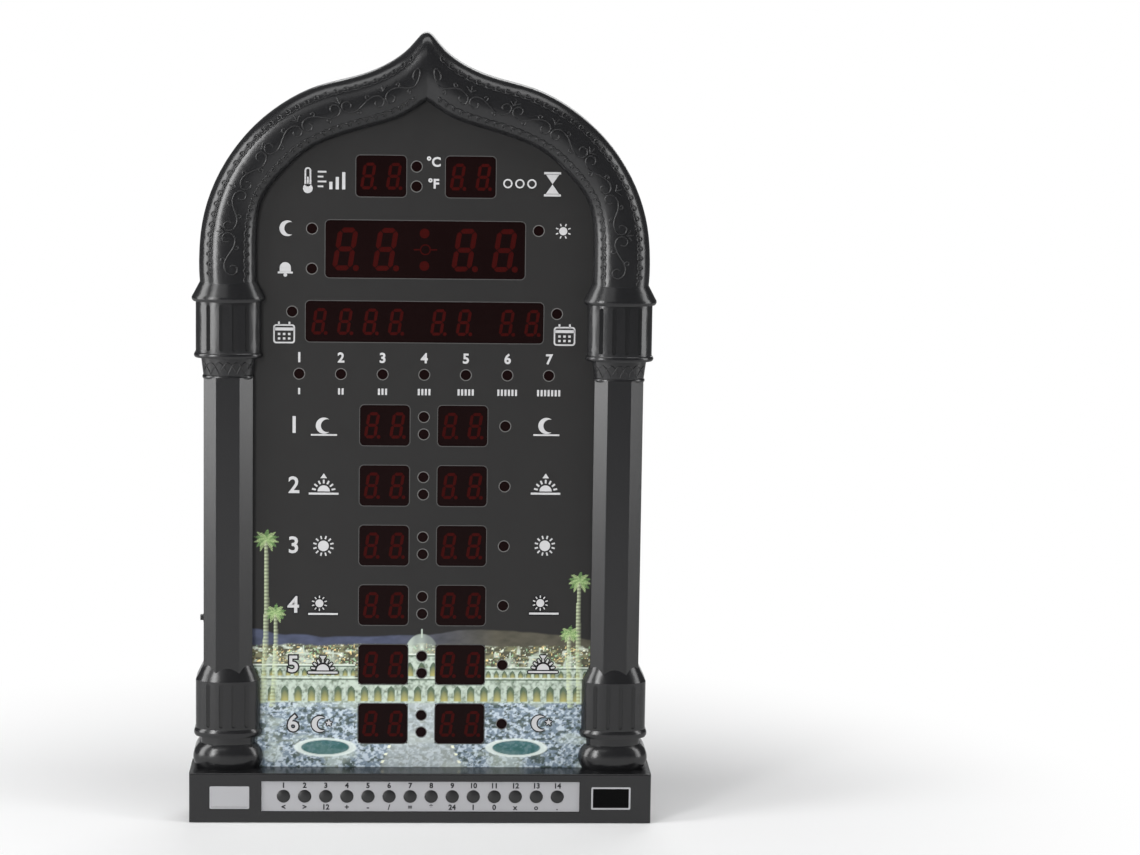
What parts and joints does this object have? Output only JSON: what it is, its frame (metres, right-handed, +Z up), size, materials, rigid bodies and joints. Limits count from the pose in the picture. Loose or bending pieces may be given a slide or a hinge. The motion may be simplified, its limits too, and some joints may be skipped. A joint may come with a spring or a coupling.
{
  "type": "azan clock",
  "caption": "Arched table and wall clock for daily call times, with columns, a dial of red digit windows, a key row on the plinth and a rear cover.",
  "frame": {"origin": "middle of the footprint, at the height of the surface the plinth stands on", "axes": "+X to the right seen from the front, +Y to the back, +Z up to the tip of the arch"},
  "size_m": [0.2496, 0.04, 0.425],
  "materials": {
    "black_plastic": "satin black plastic",
    "cable": "flat cable",
    "carrier_plastic": "plain dark moulding",
    "chrome": "bright plated",
    "circuit_board": "green solder mask",
    "cover_plastic": "fine textured dark plastic",
    "dark_window": "glossy infrared window",
    "display_case": "dark moulded display body",
    "lamp": "tinted lamp body",
    "printed_dial": "printed satin sheet",
    "shell_plastic": "satin metallic grey moulded plastic",
    "smoked_filter": "glossy smoked red plastic",
    "speaker_paper": "pressed basket and paper cone",
    "steel": "zinc plated steel",
    "strip_silver": "satin silver printed strip"
  },
  "bodies": {
    "case": {"backup_cell": "steel", "board_screws": "steel", "chassis_screws": "steel", "countdown_display": "display_case", "cover_screws": "steel", "day_display": "display_case", "dial_carrier": "carrier_plastic", "display_board": "circuit_board", "front_panel": "printed_dial", "front_shell": "shell_plastic", "indicator_lamps": "lamp", "key_board": "circuit_board", "key_cable": "cable", "key_switches": "black_plastic", "label_strip": "strip_silver", "main_time_display": "display_case", "mirror_plate": "chrome", "month_display": "display_case", "power_inlet": "black_plastic", "power_switch": "black_plastic", "rear_cover": "cover_plastic", "remote_sensor": "black_plastic", "row1_hours_display": "display_case", "row1_minutes_display": "display_case", "row2_hours_display": "display_case", "row2_minutes_display": "display_case", "row3_hours_display": "display_case", "row3_minutes_display": "display_case", "row4_hours_display": "display_case", "row4_minutes_display": "display_case", "row5_hours_display": "display_case", "row5_minutes_display": "display_case", "row6_hours_display": "display_case", "row6_minutes_display": "display_case", "sensor_frame": "chrome", "sensor_window": "dark_window", "speaker": "speaker_paper", "speaker_screws": "steel", "temperature_display": "display_case", "volume_control": "black_plastic", "window_filter": "smoked_filter", "year_display": "display_case"},
    "button_01": {"button_01": "black_plastic"},
    "button_02": {"button_02": "black_plastic"},
    "button_03": {"button_03": "black_plastic"},
    "button_04": {"button_04": "black_plastic"},
    "button_05": {"button_05": "black_plastic"},
    "button_06": {"button_06": "black_plastic"},
    "button_07": {"button_07": "black_plastic"},
    "button_08": {"button_08": "black_plastic"},
    "button_09": {"button_09": "black_plastic"},
    "button_10": {"button_10": "black_plastic"},
    "button_11": {"button_11": "black_plastic"},
    "button_12": {"button_12": "black_plastic"},
    "button_13": {"button_13": "black_plastic"},
    "button_14": {"button_14": "black_plastic"},
    "volume_wheel": {"volume_wheel": "black_plastic"},
    "power_slider": {"power_slider": "black_plastic"},
    "battery_door": {"battery_door": "cover_plastic"}
  },
  "joints": [
    {"name": "button_01_press", "type": "slide", "parent": "case", "child": "button_01", "axis": [0, 1, 0], "range_m": [0, 0.0007], "stiffness_N_per_m": 800},
    {"name": "button_02_press", "type": "slide", "parent": "case", "child": "button_02", "axis": [0, 1, 0], "range_m": [0, 0.0007], "stiffness_N_per_m": 800},
    {"name": "button_03_press", "type": "slide", "parent": "case", "child": "button_03", "axis": [0, 1, 0], "range_m": [0, 0.0007], "stiffness_N_per_m": 800},
    {"name": "button_04_press", "type": "slide", "parent": "case", "child": "button_04", "axis": [0, 1, 0], "range_m": [0, 0.0007], "stiffness_N_per_m": 800},
    {"name": "button_05_press", "type": "slide", "parent": "case", "child": "button_05", "axis": [0, 1, 0], "range_m": [0, 0.0007], "stiffness_N_per_m": 800},
    {"name": "button_06_press", "type": "slide", "parent": "case", "child": "button_06", "axis": [0, 1, 0], "range_m": [0, 0.0007], "stiffness_N_per_m": 800},
    {"name": "button_07_press", "type": "slide", "parent": "case", "child": "button_07", "axis": [0, 1, 0], "range_m": [0, 0.0007], "stiffness_N_per_m": 800},
    {"name": "button_08_press", "type": "slide", "parent": "case", "child": "button_08", "axis": [0, 1, 0], "range_m": [0, 0.0007], "stiffness_N_per_m": 800},
    {"name": "button_09_press", "type": "slide", "parent": "case", "child": "button_09", "axis": [0, 1, 0], "range_m": [0, 0.0007], "stiffness_N_per_m": 800},
    {"name": "button_10_press", "type": "slide", "parent": "case", "child": "button_10", "axis": [0, 1, 0], "range_m": [0, 0.0007], "stiffness_N_per_m": 800},
    {"name": "button_11_press", "type": "slide", "parent": "case", "child": "button_11", "axis": [0, 1, 0], "range_m": [0, 0.0007], "stiffness_N_per_m": 800},
    {"name": "button_12_press", "type": "slide", "parent": "case", "child": "button_12", "axis": [0, 1, 0], "range_m": [0, 0.0007], "stiffness_N_per_m": 800},
    {"name": "button_13_press", "type": "slide", "parent": "case", "child": "button_13", "axis": [0, 1, 0], "range_m": [0, 0.0007], "stiffness_N_per_m": 800},
    {"name": "button_14_press", "type": "slide", "parent": "case", "child": "button_14", "axis": [0, 1, 0], "range_m": [0, 0.0007], "stiffness_N_per_m": 800},
    {"name": "volume_turn", "type": "hinge", "parent": "case", "child": "volume_wheel", "pos_m": [-0.1058, 0.0098, 0.107], "axis": [0, 1, 0], "range_deg": [-135, 135]},
    {"name": "power_slide", "type": "slide", "parent": "case", "child": "power_slider", "axis": [0, 0, 1], "range_m": [0, 0.0025]},
    {"name": "battery_door_slide", "type": "slide", "parent": "case", "child": "battery_door", "axis": [0, 0, -1], "range_m": [0, 0.014]}
  ]
}
